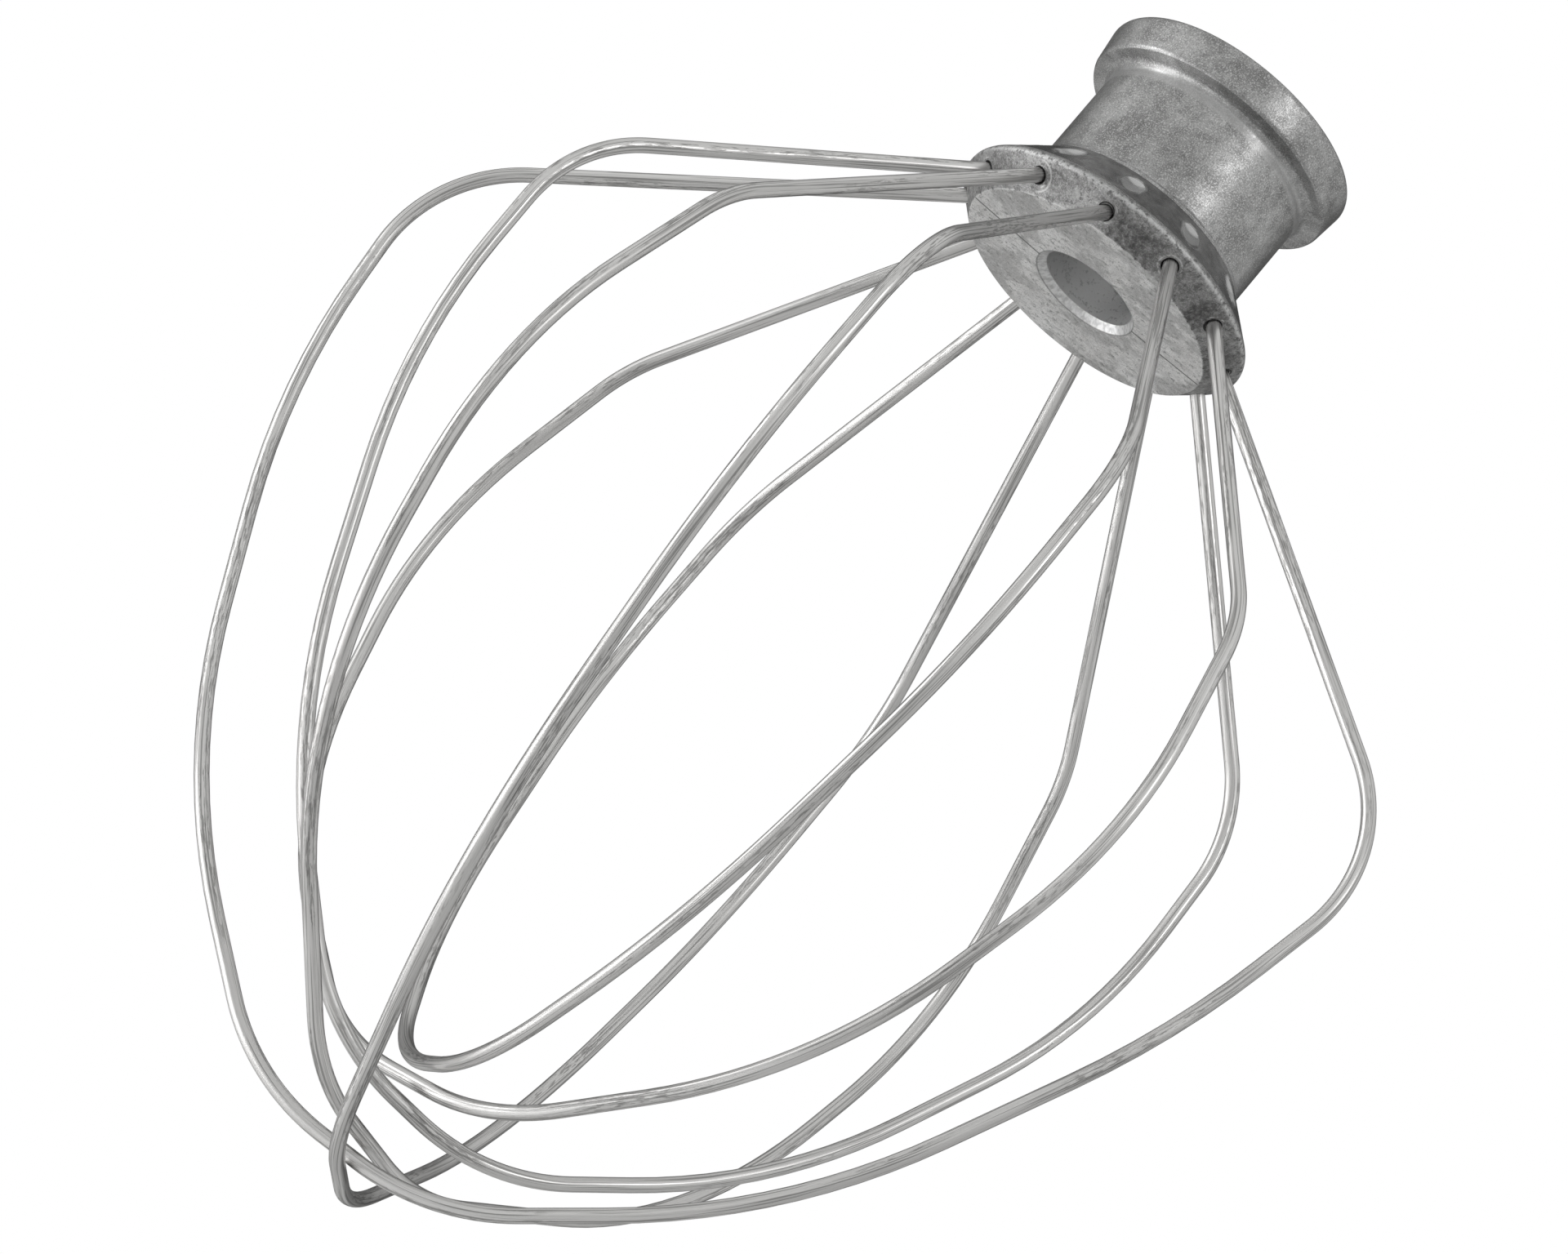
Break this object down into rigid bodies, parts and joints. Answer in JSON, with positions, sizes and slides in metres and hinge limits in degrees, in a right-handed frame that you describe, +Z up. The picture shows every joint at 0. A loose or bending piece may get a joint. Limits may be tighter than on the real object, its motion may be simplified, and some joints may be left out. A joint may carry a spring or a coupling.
{
  "type": "wire whip attachment",
  "caption": "Balloon whisk for a planetary stand mixer: bent steel wire loops nested in a cast aluminium hub with a shaft bore and a bayonet slot.",
  "frame": {"origin": "centre of the shaft bore's mouth, in the hub's top face", "axes": "+Z up along the shaft bore, out of the hub; the wires hang towards -Z; +X lies in the plane of wire_5 and +Y in the plane of wire_6"},
  "size_m": [0.1441, 0.15, 0.1745],
  "materials": {
    "cast_aluminium": "die-cast, tumbled, satin",
    "steel_wire": "drawn wire, satin"
  },
  "bodies": {
    "root": {"hub": "cast_aluminium", "wire_1": "steel_wire", "wire_2": "steel_wire", "wire_3": "steel_wire", "wire_4": "steel_wire", "wire_5": "steel_wire", "wire_6": "steel_wire"}
  },
  "joints": []
}
